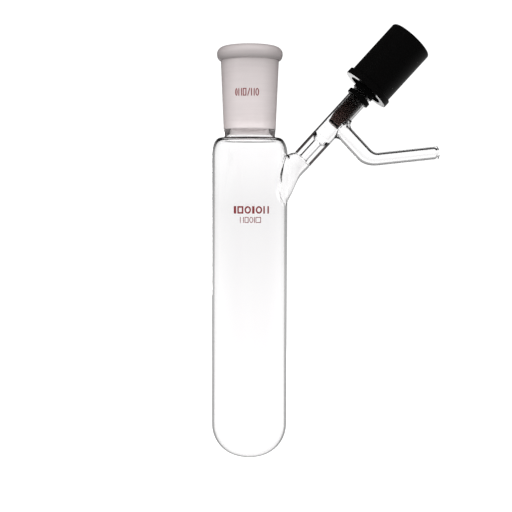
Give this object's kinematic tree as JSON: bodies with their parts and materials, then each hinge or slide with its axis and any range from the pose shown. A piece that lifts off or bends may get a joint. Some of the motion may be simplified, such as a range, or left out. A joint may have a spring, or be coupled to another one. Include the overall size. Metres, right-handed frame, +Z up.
{
  "type": "glass storage tube with side valve",
  "caption": "Round-bottomed glass storage tube with a ground taper socket at its mouth and a side arm holding a screw-down plug valve, a black knob and a bent hose tube.",
  "frame": {"origin": "centre of the ground socket's mouth", "axes": "+Z up the vessel's axis, out of the socket; +X towards the side arm and hose tube; the printed marks face -Y"},
  "size_m": [0.1128, 0.0377, 0.2158],
  "materials": {
    "clear_glass": "clear borosilicate glass, fire polished",
    "ground_glass": "finely ground, translucent warm grey",
    "enamel": "fired dark red enamel print, slightly raised",
    "black_knob": "moulded black plastic, satin gloss",
    "black_bushing": "moulded black plastic, matt",
    "black_ring": "black rubber, matt",
    "filled_ptfe": "dark reddish-brown filled PTFE, waxy",
    "seal_rubber": "black elastomer O-ring",
    "steel": "stainless steel screw"
  },
  "bodies": {
    "glass": {"ground_joint": "ground_glass", "vessel": "clear_glass", "side_neck": "clear_glass", "seat_tube": "clear_glass", "valve_barrel": "clear_glass", "hose_tube": "clear_glass", "retaining_ring": "black_ring", "bushing": "black_bushing", "socket_mark": "enamel", "emblem_mark": "enamel", "capacity_mark": "enamel"},
    "seals": {"lower_o_ring": "seal_rubber", "upper_o_ring": "seal_rubber"},
    "stem": {"plug": "filled_ptfe", "tip_seal": "seal_rubber", "knob": "black_knob", "knob_cap": "black_knob", "knob_screw": "steel"}
  },
  "joints": [
    {"name": "stem_lift", "type": "slide", "parent": "glass", "child": "seals", "axis": [0.673, 0, 0.7396], "range_m": [-0.0097, 0.001]},
    {"name": "knob_turn", "type": "hinge", "parent": "seals", "child": "stem", "pos_m": [0.0358, 0, -0.0443], "axis": [0.673, 0, 0.7396], "range_deg": [-1747, 181]}
  ],
  "couplings": [
    {"joint": "knob_turn", "follows": "stem_lift", "rad_per_m": 3141.6}
  ]
}
